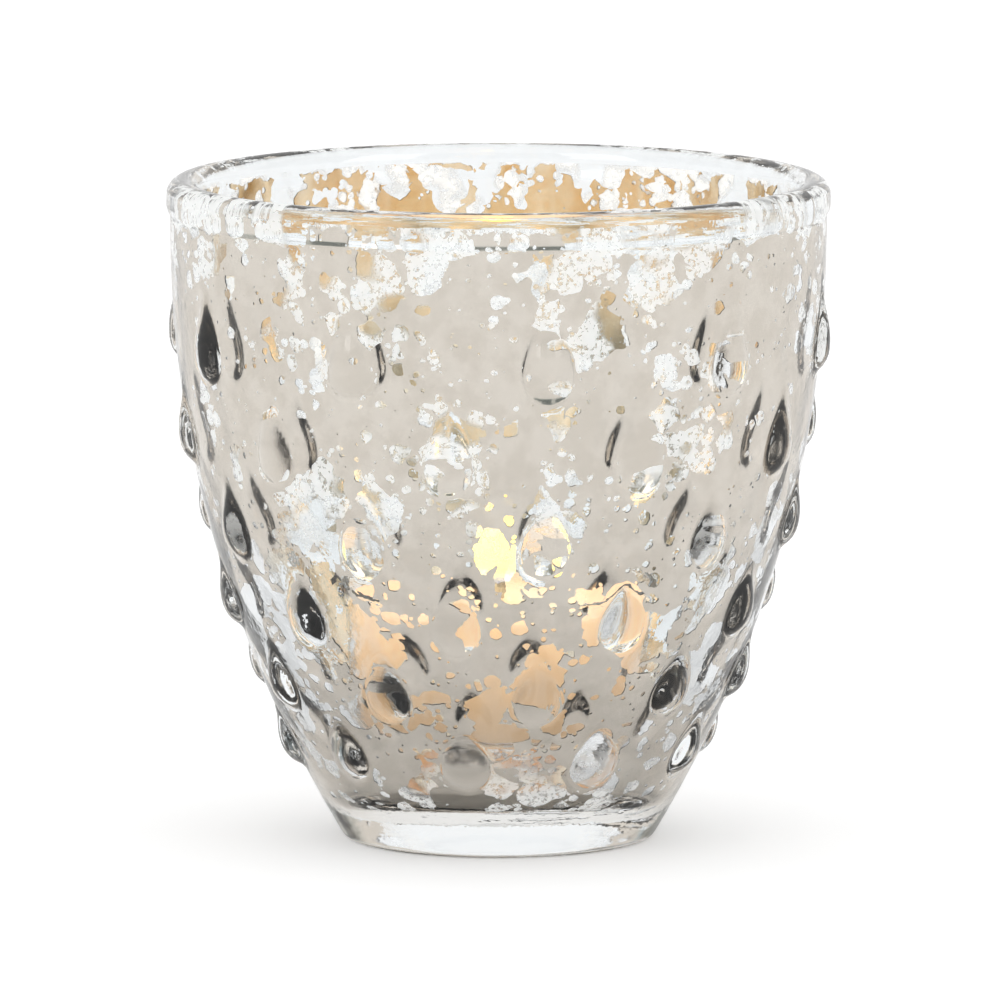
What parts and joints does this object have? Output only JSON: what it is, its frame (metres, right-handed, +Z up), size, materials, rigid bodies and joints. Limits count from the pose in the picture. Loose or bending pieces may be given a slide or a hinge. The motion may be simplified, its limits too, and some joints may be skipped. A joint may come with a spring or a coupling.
{
  "type": "tealight holder",
  "caption": "Pressed glass cup with raised teardrops and a mottled mirror lining, holding a tealight in its narrowing bowl.",
  "frame": {"origin": "centre of the ring that the foot stands on", "axes": "+Z up along the cup's axis, -Y towards the front"},
  "size_m": [0.08, 0.08, 0.08],
  "materials": {
    "glass_cup": "polished clear",
    "silver_film": "mottled mirror",
    "amber_lacquer": "glossy tinted coat",
    "tealight_cup": "clear moulded",
    "wax": "waxy",
    "wick": "braided cotton, charred tip",
    "wick_tab": "tinned"
  },
  "bodies": {
    "holder": {"glass_cup": "glass_cup", "silver_film": "silver_film", "amber_lacquer": "amber_lacquer"},
    "tealight": {"tealight_cup": "tealight_cup"},
    "candle": {"wax": "wax", "wick": "wick", "wick_tab": "wick_tab"}
  },
  "joints": [
    {"name": "tealight_lift", "type": "slide", "parent": "holder", "child": "tealight", "axis": [0, 0, 1], "range_m": [0, 0.075]},
    {"name": "candle_lift", "type": "slide", "parent": "tealight", "child": "candle", "axis": [0, 0, 1], "range_m": [0, 0.022]}
  ]
}
